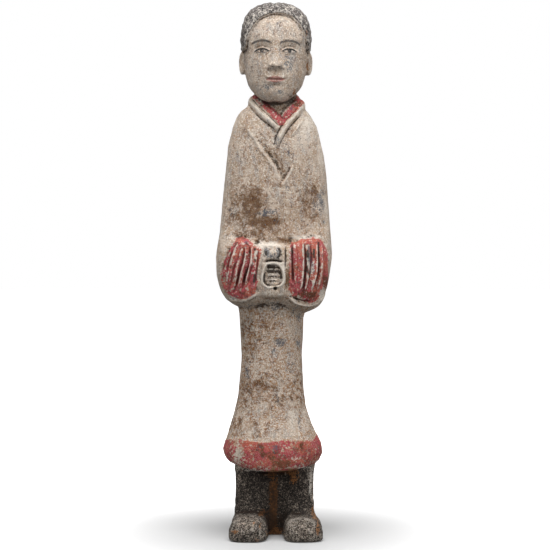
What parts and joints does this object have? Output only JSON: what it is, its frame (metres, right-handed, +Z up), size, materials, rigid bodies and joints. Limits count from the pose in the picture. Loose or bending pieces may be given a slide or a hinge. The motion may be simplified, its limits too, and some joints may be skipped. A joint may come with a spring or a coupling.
{
  "type": "terracotta court lady figure",
  "caption": "Standing court lady moulded in one piece of painted clay, hands folded in pleated red cuffs, robe flaring to a red hem over dark trousers and shoes.",
  "frame": {"origin": "on the ground, under the middle of the figure's outline", "axes": "+Z up, the face and the folded hands towards -Y, the figure's own left hand towards +X"},
  "size_m": [0.1164, 0.095, 0.5334],
  "materials": {
    "painted_clay": "unglazed, with worn white slip, red and black paint"
  },
  "bodies": {
    "root": {"court_lady": "painted_clay"}
  },
  "joints": []
}
